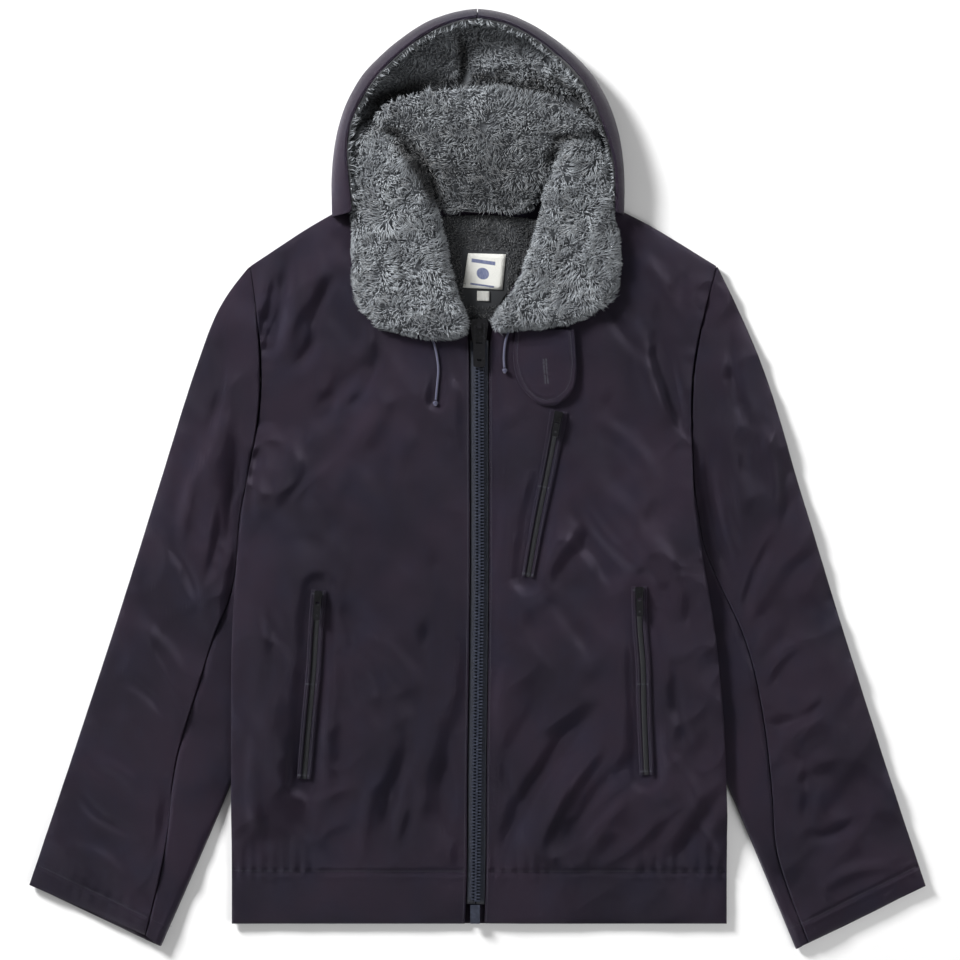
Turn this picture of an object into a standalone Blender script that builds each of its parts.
"""Sailing jacket laid flat on its back, with a pile-lined hood and collar.

X runs across the jacket, Y up its length towards the hood, Z up off the table.
Sizes in the tables are millimetres. MM turns them into metres when a mesh is made.
"Right" and "left" are the wearer's own, so the right side lies at negative X.
"""
import math

import bpy
import bmesh
import numpy as np
from mathutils import Matrix, Vector
from mathutils.bvhtree import BVHTree

MM = 0.001

# Cloth and gaps
WALL = 3.6  # shell with its warm lining
SEAM = 0.3  # between sewn pieces
AIR = 2.2  # mean height of the fronts and sleeves off what they lie on
AIR_LEAST = 0.15
AIR_MOST = 3.5
BODY_REACH = 70.0  # how far in from a free edge the body is still rising
SLEEVE_REACH = 42.0
EDGE_ROUND = 5.0
EDGE_DROP = 1.9
SLEEVE_STACK = 2 * WALL + SEAM
LIFT = SLEEVE_STACK + 1.2  # the body's sides lie over the sleeves
LIFT_PLATEAU = 26.0
LIFT_FALL = 42.0
HEM_Y = -427.7
HEM_SEAM_Y = -377.8
UNDERARM_Y = -20.0
ARMHOLE_GAP = SEAM + 0.6

# Main zip
ZIP_HALF = 9.5  # from the middle of the zip to the front's edge
TEETH_HALF = 5.2
TAPE_THICK = 1.2
TEETH_THICK = 3.0
SLIDER_FOOT_Y = 131.0
SLIDER_TOP_Y = 154.0
BOX_TOP_Y = -409.0
PULL_TILT = math.radians(2.5)  # the main pull droops from its slider to the teeth
MAIN_CLEAR = 1.2  # from a pull's bar to the slider under it
PULL_CLEAR = 0.4

# Trims
LABEL_THICK = 0.7
TAB_THICK = 3.0
CORD_WIDE = 2.2
PILE = 5.0  # pile lining of the hood
HOOD_SHELL = 2.8
COLLAR = 8.0  # pile cloth of the collar, one layer

# Body outline: y, x of the right side seam, x of the left side seam
SIDES = [
    (-427.7, -236.6, 240.0),
    (-288.5, -236.6, 239.0),
    (-211.7, -236.2, 234.7),
    (-154.1, -235.7, 229.0),
    (-115.7, -233.8, 223.2),
    (-77.3, -230.9, 216.5),
    (-38.9, -227.0, 210.7),
    (-20.0, -224.6, 207.8),
]
# Armhole seam from the underarm to the shoulder point: y, right x, left x
ARMHOLES = [
    (-20.0, -224.6, 207.8),
    (18.7, -217.4, 206.4),
    (57.1, -209.8, 205.3),
    (95.5, -206.9, 205.9),
    (133.9, -209.0, 211.6),
    (172.3, -213.6, 221.0),
    (205.5, -218.4, 229.9),
]
# Neck edge of each front from the zip up to the shoulder seam: right x, y, left x, y
NECK = [
    (-8.5, 151.0, 11.5, 151.0),
    (-21.6, 169.4, 24.5, 169.4),
    (-36.0, 191.5, 37.9, 191.5),
    (-48.5, 215.5, 50.4, 215.5),
    (-61.0, 247.2, 62.9, 247.2),
    (-74.4, 286.5, 75.4, 285.6),
]
NECK_DIP = 29.0  # how far the back neck dips below the shoulder seams' inner ends
SHOULDER_BOW = 6.0
# Middle of the main zip: y, x
ZIP = [
    (-427.7, -2.9),
    (-409.4, -1.9),
    (-288.5, -0.5),
    (-96.5, 2.0),
    (103.2, 1.7),
    (154.0, 1.7),
]
# Sleeves from the armhole to the cuff: outer edge, front seam and inner edge
SLEEVE_OUTER_RIGHT = [(-218.4, 205.5), (-245.3, 172.3), (-268.3, 114.7), (-304.8, -0.5), (-352.8, -154.1),
                      (-403.7, -307.7), (-431.5, -390.2)]
SLEEVE_SEAM_RIGHT = [(-223.6, -8.0), (-228.4, -30.0), (-231.2, -64.0), (-235.4, -105.1), (-253.9, -151.2),
                     (-267.4, -195.4), (-290.4, -272.2), (-300.0, -353.8), (-307.7, -392.2), (-319.2, -438.6)]
SLEEVE_INNER_RIGHT = [(-225.0, -20.0), (-212.6, -46.0), (-203.0, -80.0), (-199.2, -118.0), (-201.1, -163.7),
                      (-210.7, -211.7), (-236.6, -291.4), (-266.4, -362.4), (-304.8, -449.8)]
SLEEVE_OUTER_LEFT = [(229.9, 205.5), (255.8, 153.1), (272.2, 114.7), (307.7, -0.5), (354.7, -154.1),
                     (403.7, -307.7), (431.5, -391.2)]
SLEEVE_SEAM_LEFT = [(208.0, -8.0), (211.9, -30.0), (217.5, -64.0), (235.7, -106.1), (256.8, -151.2),
                    (270.2, -202.1), (283.7, -307.7), (286.6, -353.8), (295.2, -384.5), (318.2, -445.5)]
SLEEVE_INNER_LEFT = [(208.2, -20.0), (198.2, -46.0), (192.5, -80.0), (190.6, -118.0), (194.4, -163.7),
                     (205.9, -211.7), (239.0, -291.4), (271.2, -367.2), (306.7, -452.6)]

# Main creases: start x, y, end x, y, half width, height (a valley is negative)
CREASES = [
    (-182.0, 205.0, -203.0, 118.0, 13.0, -1.9),
    (-160.0, 190.0, -184.0, 105.0, 15.0, 1.3),
    (-123.0, 177.0, -172.0, 108.0, 14.0, -1.6),
    (-109.0, 113.0, -150.0, 57.0, 14.0, -1.7),
    (-88.0, 95.0, -118.0, 30.0, 17.0, 1.2),
    (-68.0, -262.0, -86.0, -338.0, 13.0, -1.7),
    (-45.0, -225.0, -60.0, -330.0, 17.0, 1.2),
    (-173.0, -272.0, -164.0, -314.0, 12.0, -1.5),
    (-205.0, -170.0, -190.0, -330.0, 20.0, 0.9),
    (-110.0, -120.0, -125.0, -250.0, 26.0, 0.9),
    (171.0, 132.0, 199.0, 62.0, 14.0, -1.8),
    (150.0, 150.0, 172.0, 60.0, 17.0, 1.2),
    (90.0, -27.0, 150.0, -100.0, 14.0, -1.6),
    (112.0, -8.0, 172.0, -84.0, 17.0, 1.1),
    (25.0, -357.0, 114.0, -224.0, 15.0, -1.8),
    (48.0, -368.0, 128.0, -250.0, 17.0, 1.2),
    (80.0, -368.0, 141.0, -277.0, 13.0, -1.4),
    (193.0, -368.0, 235.0, -305.0, 13.0, -1.6),
    (20.0, -233.0, 55.0, -204.0, 12.0, -1.3),
    (108.0, -166.0, 135.0, -136.0, 13.0, -1.4),
    (-259.0, 33.0, -276.0, -55.0, 13.0, -1.7),
    (-240.0, 60.0, -254.0, -60.0, 15.0, 1.2),
    (-279.0, -77.0, -271.0, -154.0, 12.0, -1.4),
    (-320.0, -116.0, -305.0, -192.0, 13.0, -1.6),
    (-305.0, -192.0, -279.0, -236.0, 12.0, -1.4),
    (-377.0, -251.0, -361.0, -320.0, 13.0, -1.7),
    (-361.0, -320.0, -335.0, -359.0, 12.0, -1.3),
    (-340.0, -240.0, -330.0, -310.0, 15.0, 1.1),
    (298.0, -116.0, 290.0, -212.0, 15.0, -1.5),
    (320.0, -130.0, 316.0, -230.0, 15.0, 1.1),
    (310.0, -231.0, 268.0, -245.0, 12.0, -1.6),
    (300.0, -375.0, 367.0, -356.0, 14.0, -1.4),
    (229.0, 187.0, 216.0, 90.0, 15.0, -1.5),
    (258.0, 110.0, 268.0, -10.0, 16.0, 1.2),
]

# Each half of the hood as on the right: outline x, y, rim x, y, z, where its floor meets the neck or shoulder x, y
HOOD_RIGHT = [
    (-139.8, 260.5, -122.0, 264.0, 29.0, -111.0, 278.5),
    (-140.8, 292.0, -127.0, 300.0, 32.0, -102.0, 283.0),
    (-134.0, 340.0, -124.0, 340.0, 34.0, -86.0, 290.0),
    (-115.0, 383.5, -104.0, 379.0, 36.0, -68.0, 292.0),
    (-86.0, 414.0, -76.0, 408.0, 37.0, -50.0, 283.0),
    (-53.5, 437.3, -47.0, 429.0, 38.0, -30.0, 271.0),
    (-28.0, 448.6, -24.0, 439.0, 38.0, -14.0, 265.0),
    (-0.2, 452.6, -0.2, 442.5, 38.0, -0.2, 262.5),
]
HOOD_LEFT = [
    (-140.9, 263.0, -134.5, 264.0, 27.0, -112.0, 278.5),
    (-141.8, 292.0, -134.5, 296.0, 31.0, -103.0, 283.0),
    (-134.0, 342.0, -122.5, 337.0, 34.0, -87.0, 290.0),
    (-115.0, 383.5, -103.0, 379.0, 36.0, -69.0, 292.0),
    (-86.5, 414.0, -78.0, 406.0, 37.0, -51.0, 283.0),
    (-53.5, 437.3, -48.0, 428.0, 38.0, -31.0, 271.0),
    (-28.0, 448.6, -24.0, 439.0, 38.0, -14.0, 265.0),
    (-0.2, 452.6, -0.2, 442.5, 38.0, -0.2, 262.5),
]
HOOD_TURN = 13.0  # where the floor starts to curl up
LINING_SHARE = 0.66  # how far in over the hood's floor its pile lining reaches
# Turned-out leaves of the collar: roll x, y, free edge x, y, height of the roll over what it lies on
LEAF_RIGHT = [
    (-77.0, 327.0, -102.0, 342.5, 20.0),
    (-66.0, 313.5, -115.0, 324.0, 22.0),
    (-57.0, 300.0, -118.3, 303.0, 22.5),
    (-49.8, 284.0, -118.8, 282.0, 22.0),
    (-43.0, 262.0, -118.0, 258.0, 20.0),
    (-36.6, 240.0, -117.6, 232.0, 18.5),
    (-30.2, 207.0, -117.2, 205.0, 17.5),
    (-24.5, 185.0, -116.4, 184.0, 16.5),
    (-19.0, 168.0, -109.0, 164.0, 15.5),
    (-14.0, 157.0, -93.0, 149.0, 14.5),
    (-11.6, 150.0, -64.0, 140.8, 13.0),
    (-13.5, 141.5, -32.0, 136.0, 10.0),
]
LEAF_LEFT = [
    (94.5, 325.5, 112.0, 331.0, 20.0),
    (82.5, 314.0, 120.0, 312.0, 22.0),
    (75.5, 300.0, 124.5, 292.8, 22.5),
    (69.0, 282.0, 126.5, 274.0, 22.0),
    (62.5, 255.0, 128.5, 250.0, 20.0),
    (57.6, 237.0, 133.0, 230.0, 18.5),
    (51.4, 213.6, 133.6, 205.0, 17.5),
    (42.7, 189.2, 131.0, 182.0, 16.5),
    (33.0, 173.0, 121.0, 169.5, 15.5),
    (24.0, 161.0, 102.0, 158.0, 14.5),
    (17.0, 152.5, 68.0, 148.4, 13.0),
    (19.5, 145.8, 36.0, 144.9, 10.0),
]
# Back of the collar: left and right end x, y of each row, height, bow of the row in y
COLLAR_BACK = [
    (-42.5, 264.0, 44.5, 264.0, 15.0, -7.0),
    (-47.5, 280.0, 60.0, 279.0, 19.5, -6.0),
    (-55.0, 301.0, 74.0, 302.0, 25.0, -3.0),
    (-75.5, 329.0, 93.5, 328.0, 30.0, 5.0),
    (-98.0, 345.0, 110.5, 337.5, 33.5, 32.0),
]
# Chin tab: y, right x, left x
CHIN_TAB = [
    (144.0, 36.5, 93.0),
    (128.0, 34.6, 94.2),
    (113.0, 34.2, 95.0),
    (100.0, 36.5, 95.2),
    (90.0, 41.0, 93.4),
    (81.0, 48.5, 88.5),
    (74.5, 56.0, 81.5),
    (71.0, 62.0, 75.0),
]
# Pocket zips: node word, line of the zip x, y top to bottom, half width over its welts at top and bottom, pull length
POCKETS = [
    ("chest", [(78.4, 66.0), (73.4, 37.9), (66.7, 3.4), (58.1, -38.9), (48.5, -93.6)], 8.6, 5.8, 22.0),
    ("hand_right", [(-152.2, -106.1), (-155.0, -141.6), (-157.3, -182.9), (-161.2, -224.7), (-166.6, -287.5)],
     7.4, 7.0, 26.0),
    ("hand_left", [(155.0, -102.2), (156.0, -143.3), (158.9, -175.2), (159.8, -215.5), (162.7, -283.7)],
     7.4, 7.0, 26.0),
]
POCKET_TEETH = 2.4  # half width of a pocket's zip
WELT_THICK = 1.8
POCKET_ZIP_THICK = 1.2
# Neck label and size tab: corners x, y
LABEL = [(-9.1, 217.9), (27.4, 216.8), (24.0, 182.6), (-14.1, 184.8)]
SIZE_TAB = [(-0.5, 182.6), (11.5, 182.1), (11.5, 172.5), (-0.5, 173.0)]
# Drawcords from the collar to the knot: x, y
CORD_RIGHT = [(-43.4, 134.6), (-40.6, 126.2), (-38.4, 115.0), (-37.6, 104.2), (-38.9, 88.8), (-40.1, 76.0)]
CORD_LEFT = [(29.6, 142.2), (26.6, 131.0), (25.4, 117.2), (26.0, 107.5)]
KNOT_WIDE = 5.4

# Colours of the cloth and the metal, linear
NAVY = (0.028, 0.025, 0.036, 1.0)
ZIP_NAVY = (0.040, 0.050, 0.085, 1.0)
PILE_GREY = (0.24, 0.26, 0.27, 1.0)
KNIT_GREY = (0.06, 0.06, 0.063, 1.0)
CORD_BLUE = (0.09, 0.09, 0.17, 1.0)
BLACK = (0.012, 0.012, 0.013, 1.0)
OFF_WHITE = (0.78, 0.76, 0.72, 1.0)


def smooth(t):
    """Ease from 0 to 1 as t goes from 0 to 1."""
    t = np.clip(t, 0.0, 1.0)
    return t * t * (3.0 - 2.0 * t)


def curve(points, fractions):
    """Points at fractions of the length of a smooth curve through points."""
    pts = np.array(points, float)
    steps = np.linalg.norm(np.diff(pts, axis=0), axis=1)
    at = np.concatenate([[0.0], np.cumsum(steps)])
    slopes = np.gradient(pts, at, axis=0)
    want = np.clip(np.asarray(fractions, float), 0.0, 1.0) * at[-1]
    i = np.clip(np.searchsorted(at, want, side="right") - 1, 0, len(at) - 2)
    width = (at[i + 1] - at[i])[:, None]
    t = (want - at[i])[:, None] / width
    return ((2 * t**3 - 3 * t**2 + 1) * pts[i] + (t**3 - 2 * t**2 + t) * width * slopes[i]
            + (3 * t**2 - 2 * t**3) * pts[i + 1] + (t**3 - t**2) * width * slopes[i + 1])


def straight(points, fractions):
    """Points at fractions of the length of a polyline."""
    steps = np.linalg.norm(np.diff(points, axis=0), axis=1)
    at = np.concatenate([[0.0], np.cumsum(steps)]) / steps.sum()
    return np.stack([np.interp(fractions, at, points[:, axis]) for axis in (0, 1)], axis=1)


def column(table, y, index):
    """Value of one column of a table whose first column is y, read smoothly at y."""
    rows = sorted(table)
    line = curve([(row[0], row[index]) for row in rows], np.linspace(0, 1, 120))
    return np.interp(y, line[:, 0], line[:, 1])


def to_line(x, y, line):
    """Distance in plan from each (x, y) to a polyline."""
    pts = np.array(line, float)
    best = np.full(np.broadcast(x, y).shape, 1e9)
    for (ax, ay), (bx, by) in zip(pts[:-1], pts[1:]):
        length2 = (bx - ax) ** 2 + (by - ay) ** 2
        t = np.clip(((x - ax) * (bx - ax) + (y - ay) * (by - ay)) / length2, 0, 1)
        best = np.minimum(best, np.hypot(x - ax - t * (bx - ax), y - ay - t * (by - ay)))
    return best


def zip_x(y):
    """Middle of the main zip at y."""
    return column(ZIP, y, 1)


def shoulder(side):
    """Line of the shoulder's outer edge, from the armhole to the neck."""
    tip = (ARMHOLES[-1][side], ARMHOLES[-1][0])
    neck = (NECK[-1][0], NECK[-1][1]) if side == 1 else (NECK[-1][2], NECK[-1][3])
    middle = ((tip[0] + neck[0]) / 2, (tip[1] + neck[1]) / 2 + SHOULDER_BOW)
    return curve([tip, middle, neck], np.linspace(0, 1, 9))


BODY_EDGES = {
    side: [
        np.array([(row[side], row[0]) for row in SIDES]),
        shoulder(side),
        np.array([(SIDES[0][1], HEM_Y), (SIDES[0][2], HEM_Y)]),
    ]
    for side in (1, 2)
}
SLEEVE_LINES = {
    1: (SLEEVE_OUTER_RIGHT, SLEEVE_SEAM_RIGHT, SLEEVE_INNER_RIGHT),
    2: (SLEEVE_OUTER_LEFT, SLEEVE_SEAM_LEFT, SLEEVE_INNER_LEFT),
}


def lift(x, y):
    """Height of the back's underside: it rises over the hidden part of each sleeve."""
    height = np.zeros(np.broadcast(x, y).shape)
    for side in (1, 2):
        away = 1.0 if side == 1 else -1.0
        inner = curve(SLEEVE_LINES[side][2], np.linspace(0, 1, 40))
        hidden = inner[(inner[:, 1] < UNDERARM_Y) & (inner[:, 1] > -300.0)]
        from_line = to_line(x, y, hidden)
        line_x = np.interp(y, hidden[::-1, 1], hidden[::-1, 0])
        within = (away * (x - line_x) < 0) & (y < UNDERARM_Y) & (y > -300.0)
        gap = np.where(within, 0.0, from_line)
        height = np.maximum(height, LIFT * smooth(1.0 - (gap - LIFT_PLATEAU) / LIFT_FALL))
    return height


def folds(x, y):
    """Height that the hand-placed creases add."""
    total = np.zeros(np.broadcast(x, y).shape)
    for ax, ay, bx, by, wide, high in CREASES:
        length2 = (bx - ax) ** 2 + (by - ay) ** 2
        t = ((x - ax) * (bx - ax) + (y - ay) * (by - ay)) / length2
        near = np.clip(t, 0, 1)
        off = np.hypot(x - ax - near * (bx - ax), y - ay - near * (by - ay))
        total = total + high * np.exp(-((off / wide) ** 2)) * smooth(1.3 - np.abs(2 * t - 1) * 0.6)
    return total


def air(x, y, edge, reach):
    """Space under a panel: none at its free edges, more further in, changed by the creases."""
    rise = 1.0 - (1.0 - np.clip(edge / reach, 0, 1)) ** 2.2
    return np.clip(AIR_LEAST + AIR * rise + folds(x, y) * rise, AIR_LEAST, AIR_MOST)


def rounding(edge):
    """How far the top falls close to a free edge, as a quarter ellipse."""
    t = np.clip(1.0 - edge / EDGE_ROUND, 0, 1)
    return EDGE_DROP * (1.0 - np.sqrt(1.0 - 0.96 * t * t))


def front_heights(x, y, side):
    """Outer and inner height of a front at (x, y)."""
    edge = np.minimum.reduce([to_line(x, y, line) for line in BODY_EDGES[side]])
    inner = lift(x, y) + WALL + SEAM + air(x, y, edge, BODY_REACH)
    hem_groove = 0.7 * np.exp(-(((y - HEM_SEAM_Y) / 9.0) ** 2))
    opening = np.abs(x - zip_x(y)) - ZIP_HALF
    return inner + WALL - rounding(np.minimum(edge, np.abs(opening) + 2.0)) - hem_groove, inner


def sleeve_heights(x, y, side):
    """Outer and inner height of a sleeve's upper layer at (x, y)."""
    outer, _, inner_line = SLEEVE_LINES[side]
    cuff = [outer[-1], inner_line[-1]]
    edge = np.minimum.reduce([to_line(x, y, line) for line in (outer, inner_line, cuff)])
    away = -1.0 if side == 1 else 1.0
    body_x = column(SIDES + ARMHOLES[1:], y, side)
    beyond = away * (x - body_x)
    pressed = (1.0 - smooth((beyond - 9.0) / 28.0)) * smooth(lift(body_x, y) / LIFT * 2.0)
    inner = WALL + SEAM + air(x, y, edge, SLEEVE_REACH) * (1.0 - pressed)
    return inner + WALL, inner


def material(name, colour, roughness, metallic=0.0):
    """A Principled material, made once."""
    mat = bpy.data.materials.get(name) or bpy.data.materials.new(name)
    mat.use_nodes = True
    shader = mat.node_tree.nodes["Principled BSDF"]
    shader.inputs["Base Color"].default_value = colour
    shader.inputs["Roughness"].default_value = roughness
    shader.inputs["Metallic"].default_value = metallic
    mat.diffuse_color = colour
    return mat


def place(name, mesh, mat, sharp=40.0):
    """Link a mesh as a named object, shaded smooth but for its sharp edges."""
    obj = bpy.data.objects.new(name, mesh)
    bpy.context.scene.collection.objects.link(obj)
    mesh.materials.append(mat)
    mesh.shade_smooth()
    mesh.set_sharp_from_angle(angle=math.radians(sharp))
    return obj


def from_faces(name, points, faces, mat, sharp=40.0):
    """An object from points in millimetres and faces, with its faces turned outward."""
    mesh = bpy.data.meshes.new(name)
    mesh.from_pydata([tuple(p) for p in np.asarray(points) * MM], [], faces)
    bm = bmesh.new()
    bm.from_mesh(mesh)
    bmesh.ops.recalc_face_normals(bm, faces=bm.faces)
    bm.to_mesh(mesh)
    bm.free()
    return place(name, mesh, mat, sharp)


def wall(name, outer, inner, mat):
    """A closed wall between an outer and an inner grid of points (rows, columns, 3)."""
    rows, cols = outer.shape[:2]
    points = np.concatenate([outer.reshape(-1, 3), inner.reshape(-1, 3)])
    shift = rows * cols
    faces = []
    for i in range(rows - 1):
        for j in range(cols - 1):
            a, b = i * cols + j, i * cols + j + 1
            c, d = a + cols, b + cols
            faces += [(a, b, d), (a, d, c)]
            faces += [(a + shift, d + shift, b + shift), (a + shift, c + shift, d + shift)]
    rim = [j for j in range(cols)]
    rim += [i * cols + cols - 1 for i in range(1, rows)]
    rim += [(rows - 1) * cols + j for j in range(cols - 2, -1, -1)]
    rim += [i * cols for i in range(rows - 2, 0, -1)]
    for a, b in zip(rim, rim[1:] + rim[:1]):
        faces += [(a, a + shift, b + shift), (a, b + shift, b)]
    return from_faces(name, points, faces, mat)


def tree(objects):
    """A search tree of the objects' faces, in millimetres."""
    points, faces = [], []
    for obj in objects:
        start = len(points)
        points += [Vector(v.co) / MM for v in obj.data.vertices]
        faces += [[start + i for i in face.vertices] for face in obj.data.polygons]
    return BVHTree.FromPolygons(points, faces)


def surface(under, x, y, default=0.0):
    """Height of the highest face below a point far above (x, y)."""
    hit = under.ray_cast(Vector((float(x), float(y), 200.0)), Vector((0, 0, -1)))[0]
    return default if hit is None else hit.z


def highest(under, x, y, reach, default):
    """Highest surface within a small square round (x, y)."""
    steps = (-reach, -reach / 2, 0.0, reach / 2, reach)
    return max(surface(under, x + dx, y + dy, default) for dx in steps for dy in steps)


# Shares of a front's width from the side seam to the zip, and of its length
ACROSS = np.array([0.0, 0.012, 0.06, 0.15, 0.26, 0.38, 0.50, 0.62, 0.74, 0.86, 0.985, 1.0])
LOWER_ROWS = np.array([-427.7, -424.5, -410.0, -386.0, -368.0, -344.0, -318.0, -292.0, -266.0, -240.0, -214.0,
                       -188.0, -162.0, -136.0, -110.0, -86.0, -64.0, -42.0, -20.0])
UPPER_STEPS = np.linspace(0, 1, 11)[1:]
UPPER_STEPS = np.concatenate([UPPER_STEPS[:-1], [0.985, 1.0]])


def front_grid(side):
    """Plan points of a front, rows from hem to shoulder and columns from side to zip."""
    away = -1.0 if side == 1 else 1.0
    rows = []
    for y in LOWER_ROWS:
        start = np.array([column(SIDES, y, side), y])
        end = np.array([zip_x(y) + away * ZIP_HALF, y])
        rows.append(start + (end - start) * ACROSS[:, None])
    armhole = [(row[side], row[0]) for row in ARMHOLES]
    neck = [(row[0], row[1]) if side == 1 else (row[2], row[3]) for row in NECK]
    centre = [(zip_x(y) + away * ZIP_HALF, y) for y in (UNDERARM_Y, 40.0, 100.0)]
    outer = curve(armhole, UPPER_STEPS)
    inner = straight(np.concatenate([centre, curve(neck, np.linspace(0, 1, 30))]), UPPER_STEPS)
    bow = shoulder(side)
    share = np.linspace(0, 1, len(bow))
    top = np.stack([np.interp(ACROSS, share, bow[:, 0]), np.interp(ACROSS, share, bow[:, 1])], axis=1)
    flat_top = bow[0] + (bow[-1] - bow[0]) * ACROSS[:, None]
    for t, start, end in zip(UPPER_STEPS, outer, inner):
        rows.append(start + (end - start) * ACROSS[:, None] + (top - flat_top) * t**3)
    return np.array(rows)


def make_fronts_and_back(cloth):
    """The two fronts, and the back that they lie on, over the same plan points."""
    made = {}
    grids = {}
    for side, name in ((1, "front_right"), (2, "front_left")):
        plan = front_grid(side)
        grids[side] = plan
        plan = plan if side == 1 else plan[:, ::-1]
        top, inner = front_heights(plan[..., 0], plan[..., 1], side)
        made[name] = wall(name, np.dstack([plan, top]), np.dstack([plan, inner]), cloth)
    middle = []
    rows = len(grids[1])
    upper = np.clip((np.arange(rows) - len(LOWER_ROWS) + 1) / len(UPPER_STEPS), 0, 1)
    for share in (0.2, 0.4, 0.6, 0.8):
        line = grids[1][:, -1] + (grids[2][:, -1] - grids[1][:, -1]) * share
        line[:, 1] -= NECK_DIP * 4 * share * (1 - share) * upper**4
        middle.append(line)
    plan = np.concatenate([grids[1], np.stack(middle, axis=1), grids[2][:, ::-1]], axis=1)
    under = lift(plan[..., 0], plan[..., 1])
    made["back"] = wall("back", np.dstack([plan, under + WALL]), np.dstack([plan, under]), cloth)
    return made


SLEEVE_ROWS = np.concatenate([np.linspace(0, 0.95, 22), [0.98, 0.994, 1.0]])
TOP_ACROSS = np.array([0.0, 0.04, 0.24, 0.5, 0.74, 0.9, 1.0])


def sleeve_lines(side):
    """Outer, seam and inner points of each row of a sleeve."""
    return [curve(line, SLEEVE_ROWS) for line in SLEEVE_LINES[side]]


def bulge(side, plan, rows, gap):
    """Move the first rows onto the armhole's curve, clear of the body by a gap for each column."""
    away = -1.0 if side == 1 else 1.0
    seam = column(ARMHOLES, np.clip(plan[..., 1], UNDERARM_Y, ARMHOLES[-1][0]), side) + away * gap
    fade = np.clip(1 - rows / 0.16, 0, 1)[:, None] ** 2
    plan[..., 0] += (seam[0] - plan[0, :, 0])[None, :] * fade
    limit = np.where(plan[..., 1] > UNDERARM_Y, seam, plan[..., 0])
    plan[..., 0] = np.minimum(plan[..., 0], limit) if side == 1 else np.maximum(plan[..., 0], limit)
    return plan


def make_sleeve(side, name, cloth):
    """The top sleeve, and the under sleeve that folds round the inner edge to lie on the table."""
    outer, seam, inner = sleeve_lines(side)
    along = np.gradient(seam, axis=0)
    along = along / np.linalg.norm(along, axis=1)[:, None]
    outward = np.column_stack([along[:, 1], -along[:, 0]]) * (1.0 if side == 1 else -1.0)
    seam_top = seam + outward * SEAM * 0.6
    seam_strip = seam - outward * SEAM * 0.6
    across = seam_top - outer
    plan = outer[:, None] + across[:, None] * TOP_ACROSS[None, :, None]
    length = np.linalg.norm(across, axis=1)
    plan = bulge(side, plan, SLEEVE_ROWS, ARMHOLE_GAP + 0.4 * TOP_ACROSS)
    high, low = sleeve_heights(plan[..., 0], plan[..., 1], side)
    drop = rounding(np.abs(TOP_ACROSS[None, :] * length[:, None]))
    drop = np.maximum(drop, rounding((1 - SLEEVE_ROWS[:, None]) * 500.0))
    top = wall(f"sleeve_top_{name}", np.dstack([plan, high - drop]), np.dstack([plan, low]), cloth)

    inward = inner - seam_strip
    reach = np.linalg.norm(inward, axis=1)[:, None]
    unit = inward / reach
    back = outer - inner
    back_long = np.linalg.norm(back, axis=1)[:, None]
    back_unit = back / back_long
    turn = np.minimum(6.0, reach * 0.4)
    strip = [seam_strip, seam_strip + inward * 0.5, inner - unit * turn, inner - unit * turn * 0.22]
    floor = [inner + back_unit * turn * 0.22, inner + back_unit * 6.0]
    floor += [inner + back * share for share in (0.16, 0.34, 0.56, 0.78)] + [outer]
    skin_plan = np.stack(strip + [inner] + floor, axis=1)
    lining_plan = np.stack(strip[:2] + [inner - unit * (turn + 1.5), inner - unit * turn * 0.85,
                                        inner + (back_unit - unit) * turn * 0.35]
                           + [inner + back_unit * turn * 0.85, inner + back_unit * 7.5] + floor[2:], axis=1)
    skin_plan = bulge(side, skin_plan, SLEEVE_ROWS, ARMHOLE_GAP)
    lining_plan = bulge(side, lining_plan, SLEEVE_ROWS, ARMHOLE_GAP)
    high, _ = sleeve_heights(skin_plan[..., 0], skin_plan[..., 1], side)
    _, low = sleeve_heights(lining_plan[..., 0], lining_plan[..., 1], side)
    middle = SLEEVE_STACK / 2
    skin_z = np.zeros_like(high)
    skin_z[:, :3] = high[:, :3]
    skin_z[:, 3] = high[:, 3] - 1.6
    skin_z[:, 4] = middle
    skin_z[:, 5] = 1.6
    lining_z = np.full_like(low, WALL)
    lining_z[:, :3] = low[:, :3]
    lining_z[:, 3] = middle + 0.14
    lining_z[:, 4] = middle
    lining_z[:, 5] = middle - 0.14
    under = wall(f"sleeve_under_{name}", np.dstack([skin_plan, skin_z]), np.dstack([lining_plan, lining_z]), cloth)
    return top, under


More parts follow.
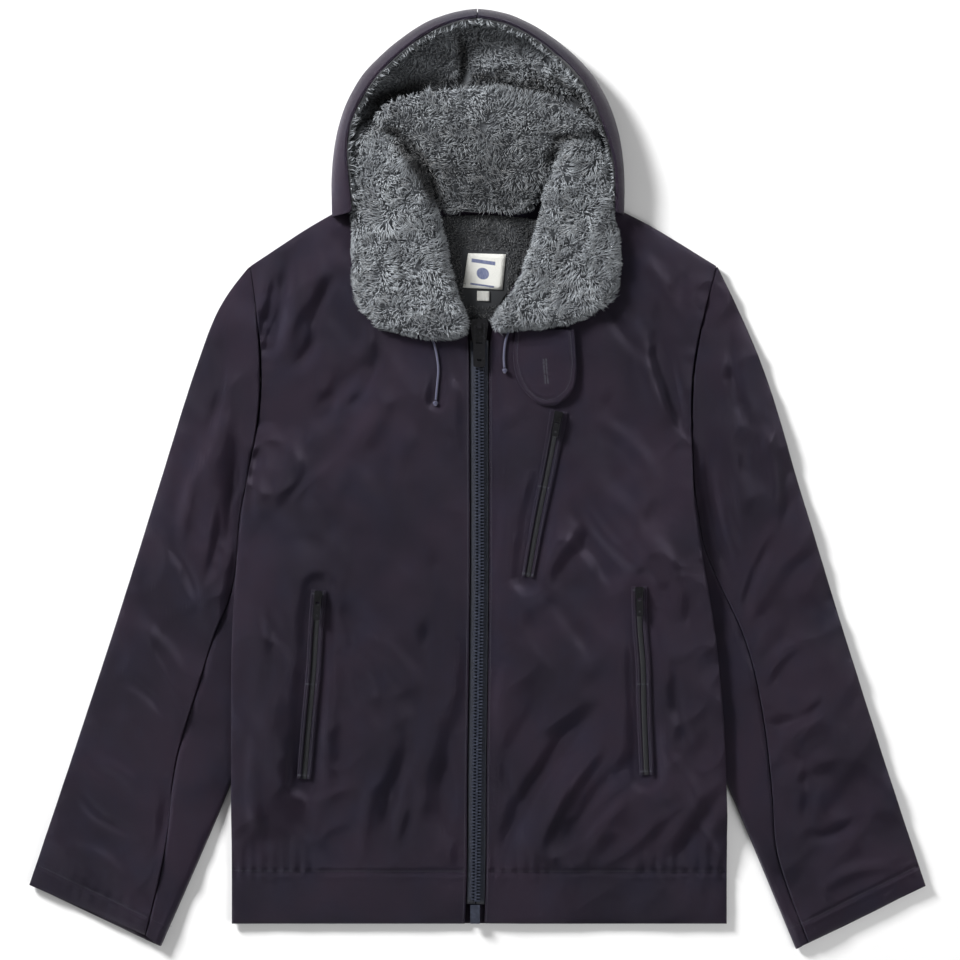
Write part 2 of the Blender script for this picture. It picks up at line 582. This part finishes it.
def make_hood(side, name, cloth, pile):
    """Half of the hood's shell, curled up from the table to its rim, and its pile lining."""
    mirror = 1.0 if side == 1 else -1.0
    share = np.linspace(0, 1, 13)
    table = curve(HOOD_RIGHT if side == 1 else HOOD_LEFT, share)
    outline = table[:, 0:2]
    rim, rim_z, floor = table[:, 2:4], table[:, 4], table[:, 5:7]
    inward = floor - outline
    deep = np.linalg.norm(inward, axis=1)[:, None]
    inward = inward / deep
    turn = np.minimum(HOOD_TURN, deep * 0.2)

    def ring(offset, reach=1.0):
        """Section points from the floor's end to the rim, moved in by offset."""
        low = np.full(len(outline), offset)
        parts = [
            np.column_stack([outline + (floor - outline) * reach, low]),
            np.column_stack([outline + (floor - outline) * reach * 0.5, low]),
            np.column_stack([outline + inward * (turn + offset), low]),
            np.column_stack([outline + inward * (3.5 + offset), low + 3.0]),
            np.column_stack([outline + inward * offset, low * 0.3 + 12.0]),
            np.column_stack([outline + inward * (0.6 + offset), low * 0.0 + 20.0]),
            np.column_stack([outline + (rim - outline) * 0.45 + inward * offset, 0.35 * 20.0 + 0.65 * rim_z]),
            np.column_stack([rim + inward * offset, rim_z - offset * 0.2]),
        ]
        return np.stack(parts, axis=1)

    def fitted(points):
        """Turn the section to its side of the jacket, clear of the middle seam."""
        points = points.copy()
        points[..., 0] = np.minimum(points[..., 0], -SEAM / 2) * mirror
        return points

    shell = wall(f"hood_{name}", fitted(ring(0.0)), fitted(ring(HOOD_SHELL)), cloth)
    gap = HOOD_SHELL + SEAM + 0.3
    lining_skin = ring(gap, LINING_SHARE)
    lining_pile = ring(gap + PILE, LINING_SHARE)
    lining_pile[:, -1] = lining_skin[:, -1] + (lining_pile[:, -1] - lining_skin[:, -1]) * 0.3
    lining_pile[:, -2] = lining_skin[:, -2] + (lining_pile[:, -2] - lining_skin[:, -2]) * 0.55
    lining = wall(f"hood_lining_{name}", fitted(lining_pile), fitted(lining_skin), pile)
    return shell, lining


def make_leaf(name, table, under, pile):
    """A turned-out leaf of the collar: stand and leaf pressed together, thickest at the roll."""
    share = np.linspace(0, 1, 20)
    rows = curve(table, share)
    roll, free, high = rows[:, 0:2], rows[:, 2:4], rows[:, 4]
    across = np.array([0.0, 0.035, 0.13, 0.30, 0.50, 0.70, 0.88, 0.97, 1.0])
    crown = np.array([0.42, 0.74, 1.0, 1.0, 0.90, 0.80, 0.70, 0.56, 0.34])
    plan = roll[:, None] + (free - roll)[:, None] * across[None, :, None]
    floor = np.array([[highest(under, x, y, 11.0, 11.0) + SEAM + 0.1 for x, y in row] for row in plan])
    ends = smooth(0.25 + np.minimum(share / 0.06, (1 - share) / 0.07))
    thick = np.maximum(high[:, None] * crown[None, :] * (0.45 + 0.55 * ends[:, None]), 1.5)
    lower = np.dstack([plan, floor + 0.22 * thick * (np.abs(across - 0.5) > 0.46)])
    upper = np.dstack([plan, floor + thick])
    return wall(name, upper, lower, pile)


def make_collar_back(pile):
    """The back of the collar, leaning back over the hood."""
    rows = curve(COLLAR_BACK, np.linspace(0, 1, 9))
    across = np.linspace(0, 1, 13)
    arch = 4 * across * (1 - across)
    x = rows[:, 0:1] + (rows[:, 2:3] - rows[:, 0:1]) * across
    y = rows[:, 1:2] + (rows[:, 3:4] - rows[:, 1:2]) * across + rows[:, 5:6] * arch**0.6
    z = rows[:, 4:5] + np.zeros_like(x)
    upper = np.dstack([x, y, z])
    lower = np.dstack([x, y, z - COLLAR])
    last = lower[-1].copy()
    lower[-1] = (upper[-1] + last) / 2 + np.array([0.0, 0.0, -1.0])
    upper[-1, :, 2] -= 2.0
    return wall("collar_back", upper, lower, pile)


def make_facing(knit):
    """Knit neck facing on the inside of the back, between the fronts and below the collar."""
    share = np.linspace(0, 1, 9)
    right = curve([(row[0], row[1]) for row in NECK[:-1]], share) + np.array([0.6, 1.5])
    left = curve([(row[2], row[3]) for row in NECK[:-1]], share) + np.array([-0.6, 1.5])
    across = np.linspace(0, 1, 9)
    plan = right[:, None] + (left - right)[:, None] * across[None, :, None]
    plan[..., 1] += (6.0 * 4 * across * (1 - across))[None, :] * share[:, None] ** 4
    base = WALL + SEAM + lift(plan[..., 0], plan[..., 1])
    return wall("neck_facing", np.dstack([plan, base + 1.6]), np.dstack([plan, base]), knit)


def flat_patch(name, corners, under, thick, mat, cells=3):
    """A thin four-cornered patch lying on the surface below it."""
    a, b, c, d = (np.array(corner) for corner in corners)
    u = np.linspace(0, 1, cells + 1)
    top = a + (b - a) * u[:, None]
    foot = d + (c - d) * u[:, None]
    plan = top[None] + (foot - top)[None] * u[:, None, None]
    base = np.array([[highest(under, x, y, 3.0, 0.0) for x, y in row] for row in plan]) + SEAM
    return wall(name, np.dstack([plan, base + thick]), np.dstack([plan, base]), mat)


def beside(line, offset):
    """A line moved sideways in plan, to its left when offset is positive."""
    along = np.gradient(line, axis=0)
    along = along / np.linalg.norm(along, axis=1)[:, None]
    return line + np.column_stack([-along[:, 1], along[:, 0]]) * np.asarray(offset)[:, None]


def over(under, lines, default=0.0):
    """Heights of rows across lines that keep every straight run between them above the surface."""
    rows = len(lines[0])
    heights = np.full(rows, -1e9)
    sub = np.linspace(0, 1, 7)
    for line in lines:
        for i in range(rows - 1):
            for t in sub:
                x, y = line[i] + (line[i + 1] - line[i]) * t
                z = surface(under, x, y, default)
                heights[i] = max(heights[i], z)
                heights[i + 1] = max(heights[i + 1], z)
    return heights


def strip(name, line, offsets, under, thick, mat, raise_by=SEAM, bevel=0.0):
    """A flat band along a line, lying on the surface, between two sideways offsets."""
    first = beside(line, np.broadcast_to(offsets[0], len(line)))
    last = beside(line, np.broadcast_to(offsets[1], len(line)))
    base = over(under, [first, (first + last) / 2, last]) + raise_by
    share = np.array([0.0, 0.22, 0.78, 1.0])
    plan = first[:, None] + (last - first)[:, None] * share[None, :, None]
    drop = np.array([bevel, 0.0, 0.0, bevel])
    upper = np.dstack([plan, base[:, None] + thick - drop[None]])
    lower = np.dstack([plan, np.broadcast_to(base[:, None], upper.shape[:2])])
    return wall(name, upper, lower, mat)


def prism(name, outline, low, high, mat):
    """An extruded outline (x, y) in plan between two heights, in its own frame."""
    count = len(outline)
    points = [(x, y, low) for x, y in outline] + [(x, y, high) for x, y in outline]
    faces = [tuple(range(count)), tuple(range(count, 2 * count))]
    faces += [(i, (i + 1) % count, (i + 1) % count + count, i + count) for i in range(count)]
    return from_faces(name, points, faces, mat)


def cut_or_join(obj, tool, operation):
    """Apply one solid to another with a Boolean and hide the tool."""
    tool.hide_render = True
    tool.display_type = "WIRE"
    modifier = obj.modifiers.new(tool.name, "BOOLEAN")
    modifier.operation = operation
    modifier.object = tool


def sit(obj, place_at, turn, tilt=0.0):
    """Put an object made round its own origin at a point, tilted and then turned in plan."""
    obj.matrix_world = (Matrix.Translation(Vector(place_at) * MM) @ Matrix.Rotation(turn, 4, "Z")
                        @ Matrix.Rotation(tilt, 4, "X"))


def make_slider(name, hinge, turn, size, metal, tilt, clear):
    """A zip slider with a crown, and the pull whose bar lies under it, hinged at hinge."""
    wide, long, tall, pull_wide, pull_long = size
    foot = -long * 0.72
    head = long * 0.28
    bar = 0.075 * pull_wide + 0.25
    body = prism(f"zip_slider_{name}", [(-wide * 0.38, foot), (wide * 0.38, foot), (wide * 0.5, head * 0.3),
                                        (wide * 0.42, head), (-wide * 0.42, head), (-wide * 0.5, head * 0.3)],
                 -tall - bar - clear, -bar - clear, metal)
    half = wide * 0.12
    top = bar + 1.5
    inside = bar + 0.5
    reach = bar + 0.6
    deep = -bar - clear - 0.6
    arch = [(-reach - 1.2, deep), (-reach - 1.2, top), (reach + 1.2, top), (reach + 1.2, deep),
            (reach, deep), (reach, inside), (-reach, inside), (-reach, deep)]
    points = [(-half, y, z) for y, z in arch] + [(half, y, z) for y, z in arch]
    count = len(arch)
    faces = [tuple(range(count)), tuple(range(count, 2 * count))]
    faces += [(i, (i + 1) % count, (i + 1) % count + count, i + count) for i in range(count)]
    crown = from_faces(f"crown_{name}", points, faces, metal)
    sit(body, hinge, turn)
    sit(crown, hinge, turn)
    cut_or_join(body, crown, "UNION")

    end = -pull_long + bar
    corner = pull_wide * 0.16
    side = pull_wide / 2
    outline = [(-side + corner, bar), (side - corner, bar), (side, bar - corner), (side, end + corner),
               (side - corner, end), (-side + corner, end), (-side, end + corner), (-side, bar - corner)]
    pull = prism(f"zip_pull_{name}", outline, -bar, bar, metal)
    window_end = -max(pull_long * 0.42, reach + 3.4)
    frame = pull_wide * 0.2
    window = prism(f"window_{name}", [(-side + frame, -bar), (side - frame, -bar), (side - frame, window_end),
                                      (-side + frame, window_end)], -bar - 2, bar + 2, metal)
    hole_y = end + pull_long * 0.14
    hole = prism(f"hole_{name}", [(-side * 0.35, hole_y), (side * 0.35, hole_y), (side * 0.35, hole_y + 2.2),
                                  (-side * 0.35, hole_y + 2.2)], -bar - 2, bar + 2, metal)
    for piece in (pull, window, hole):
        sit(piece, hinge, turn, tilt)
    cut_or_join(pull, window, "DIFFERENCE")
    cut_or_join(pull, hole, "DIFFERENCE")
    return body, pull


def under_foot(under, spot, turn, size):
    """Highest surface below a slider's foot."""
    wide, long = size[0] / 2 + 0.3, size[1]
    across, along = np.meshgrid(np.linspace(-wide, wide, 7), np.linspace(-0.75, 0.31, 9) * long)
    x = spot[0] + across * math.cos(turn) - along * math.sin(turn)
    y = spot[1] + across * math.sin(turn) + along * math.cos(turn)
    return max(surface(under, px, py) for px, py in zip(x.ravel(), y.ravel()))


def make_cord(name, route, under, mat, knot_mat):
    """A drawcord's free end lying on the front, and the knot that ends it."""
    radius = CORD_WIDE / 2
    steps = int(np.sum(np.linalg.norm(np.diff(route, axis=0), axis=1)) / (2.4 * CORD_WIDE)) + 2
    line = curve(route, np.linspace(0, 1, steps))
    heights = over(under, [line, beside(line, np.full(steps, radius)), beside(line, np.full(steps, -radius))])
    data = bpy.data.curves.new(name, "CURVE")
    data.dimensions = "3D"
    data.bevel_depth = radius * MM
    data.bevel_resolution = 2
    data.use_fill_caps = True
    spline = data.splines.new("POLY")
    spline.points.add(steps - 1)
    for point, (x, y), z in zip(spline.points, line, heights):
        point.co = (x * MM, y * MM, (z + SEAM + radius) * MM, 1.0)
    data.materials.append(mat)
    obj = bpy.data.objects.new(name, data)
    bpy.context.scene.collection.objects.link(obj)
    end = line[-1] + (line[-1] - line[-2]) / np.linalg.norm(line[-1] - line[-2]) * (KNOT_WIDE / 2 + SEAM)
    mesh = bpy.data.meshes.new(f"{name}_knot")
    bm = bmesh.new()
    bmesh.ops.create_icosphere(bm, subdivisions=2, radius=KNOT_WIDE / 2 * MM)
    base = highest(under, end[0], end[1], KNOT_WIDE / 2, 0.0)
    bmesh.ops.translate(bm, verts=bm.verts, vec=(end[0] * MM, end[1] * MM, (base + SEAM + KNOT_WIDE / 2) * MM))
    bm.to_mesh(mesh)
    bm.free()
    place(f"{name}_knot", mesh, knot_mat)
    return obj


def make_main_zip(under, tape_mat, teeth_mat, metal):
    """Tapes, teeth, end box, slider and pull down the middle."""
    y = np.linspace(SLIDER_FOOT_Y - 0.6, BOX_TOP_Y + 0.4, 21)
    line = np.column_stack([zip_x(y), y])
    tape_y = np.linspace(134.0, BOX_TOP_Y + 0.4, 21)
    tape = np.column_stack([zip_x(tape_y), tape_y])
    fronts_top = np.array([max(surface(under, zip_x(v) - ZIP_HALF - 3, v), surface(under, zip_x(v) + ZIP_HALF + 3, v))
                           for v in tape_y])
    base = fronts_top - WALL + 0.4
    for name, inside, outside in (("zip_tape_right", 0.5, ZIP_HALF - 0.9), ("zip_tape_left", -0.5, -ZIP_HALF + 0.9)):
        share = np.array([0.0, 0.5, 1.0])
        near = beside(tape, np.full(len(tape), -inside))
        far = beside(tape, np.full(len(tape), -outside))
        plan = near[:, None] + (far - near)[:, None] * share[None, :, None]
        low = np.broadcast_to(base[:, None], plan.shape[:2])
        wall(name, np.dstack([plan, low + TAPE_THICK]), np.dstack([plan, low]), tape_mat)
    teeth_base = np.interp(-y, -tape_y, base) + TAPE_THICK + SEAM
    share = np.array([0.0, 0.18, 0.82, 1.0])
    near = beside(line, np.full(len(line), -TEETH_HALF))
    far = beside(line, np.full(len(line), TEETH_HALF))
    plan = near[:, None] + (far - near)[:, None] * share[None, :, None]
    drop = np.array([1.2, 0.0, 0.0, 1.2])
    upper = np.dstack([plan, teeth_base[:, None] + TEETH_THICK - drop[None]])
    lower = np.dstack([plan, np.broadcast_to(teeth_base[:, None], plan.shape[:2])])
    wall("zip_teeth", upper, lower, teeth_mat)
    box_x = float(zip_x(-418.0))
    box_base = float(np.interp(418.0, -tape_y, base)) + TAPE_THICK + SEAM
    box = prism("zip_box", [(-4.6, -9.0), (4.6, -9.0), (4.6, 8.6), (-4.6, 8.6)], 0.0, 4.0, metal)
    sit(box, (box_x, -418.0, box_base), 0.0)
    top_z = float(np.interp(-SLIDER_FOOT_Y, -tape_y, base)) + TAPE_THICK + SEAM
    size = (17.2, 22.5, 5.0, 11.5, 41.0)
    bar = 0.075 * size[3] + 0.25
    hinge = (float(zip_x(147.0)), SLIDER_TOP_Y - 0.28 * size[1], top_z + size[2] + MAIN_CLEAR + bar)
    make_slider("main", hinge, 0.0, size, metal, PULL_TILT, MAIN_CLEAR)


def make_pocket(word, line, half_top, half_foot, pull_long, under, cloth, teeth_mat, metal):
    """A welted zip pocket on a front: two welts, the zip between them, slider and pull."""
    shape = curve(line, np.linspace(0, 1, 12))
    half = np.linspace(half_top, half_foot, len(shape))
    gap = POCKET_TEETH + SEAM
    welts = []
    welts.append(strip(f"pocket_{word}_welt_outer", shape, (np.full(len(shape), gap), half), under,
                       WELT_THICK, cloth, bevel=0.9))
    welts.append(strip(f"pocket_{word}_welt_inner", shape, (-half, np.full(len(shape), -gap)), under,
                       WELT_THICK, cloth, bevel=0.9))
    start = shape[0]
    along = shape[1] - shape[0]
    along = along / np.linalg.norm(along)
    size = (8.0, 10.5, 2.4, 6.4, pull_long)
    bar = 0.075 * size[3] + 0.25
    teeth = curve(line, np.linspace(13.0 / 175.0, 1, 11))
    strip(f"pocket_{word}_zip", teeth, (np.full(len(teeth), -POCKET_TEETH), np.full(len(teeth), POCKET_TEETH)),
          under, POCKET_ZIP_THICK, teeth_mat, bevel=0.4)
    spot = start + along * 3.6
    turn = math.atan2(along[0], -along[1])
    base = under_foot(tree(welts), spot, turn, size) + SEAM
    hinge = (spot[0], spot[1], base + size[2] + PULL_CLEAR + bar)
    make_slider(word, hinge, turn, size, metal, 0.0, PULL_CLEAR)


def build():
    """Clear the scene and make every piece."""
    for obj in list(bpy.data.objects):
        bpy.data.objects.remove(obj)
    cloth = material("shell_cloth", NAVY, 0.55)
    tape_mat = material("zip_tape", ZIP_NAVY, 0.7)
    teeth_mat = material("zip_teeth", ZIP_NAVY, 0.35)
    pile = material("grey_pile", PILE_GREY, 0.95)
    knit = material("knit_facing", KNIT_GREY, 0.9)
    cord_mat = material("drawcord", CORD_BLUE, 0.7)
    metal = material("black_metal", BLACK, 0.3, 1.0)
    label_mat = material("woven_label", OFF_WHITE, 0.8)

    body = make_fronts_and_back(cloth)
    for side, name in ((1, "right"), (2, "left")):
        make_sleeve(side, name, cloth)
        make_hood(side, name, cloth, pile)
    facing = make_facing(knit)
    fronts = tree([body["front_right"], body["front_left"]])
    inside = tree([body["back"], facing])
    make_leaf("collar_leaf_right", LEAF_RIGHT, fronts, pile)
    make_leaf("collar_leaf_left", LEAF_LEFT, fronts, pile)
    make_collar_back(pile)
    flat_patch("neck_label", LABEL, inside, LABEL_THICK, label_mat)
    size_tab = [(x, y - 1.0) for x, y in SIZE_TAB]
    flat_patch("size_tab", size_tab, inside, LABEL_THICK, label_mat, cells=1)

    rows = sorted(CHIN_TAB, reverse=True)
    plan = np.array([[(x0 + (x1 - x0) * t, y) for t in (0.0, 0.08, 0.36, 0.64, 0.92, 1.0)] for y, x0, x1 in rows])
    base = np.array([[highest(fronts, x, y, 9.0, 0.0) + SEAM for x, y in row] for row in plan])
    drop = np.zeros_like(base)
    drop[:, [0, -1]] = 1.2
    drop[-1] = 1.2
    wall("chin_tab", np.dstack([plan, base + TAB_THICK - drop]), np.dstack([plan, base]), cloth)

    make_main_zip(fronts, tape_mat, teeth_mat, metal)
    for word, line, half_top, half_foot, pull_long in POCKETS:
        make_pocket(word, line, half_top, half_foot, pull_long, fronts, cloth, teeth_mat, metal)
    make_cord("drawcord_right", CORD_RIGHT, fronts, cord_mat, cord_mat)
    make_cord("drawcord_left", CORD_LEFT, fronts, cord_mat, cord_mat)


build()
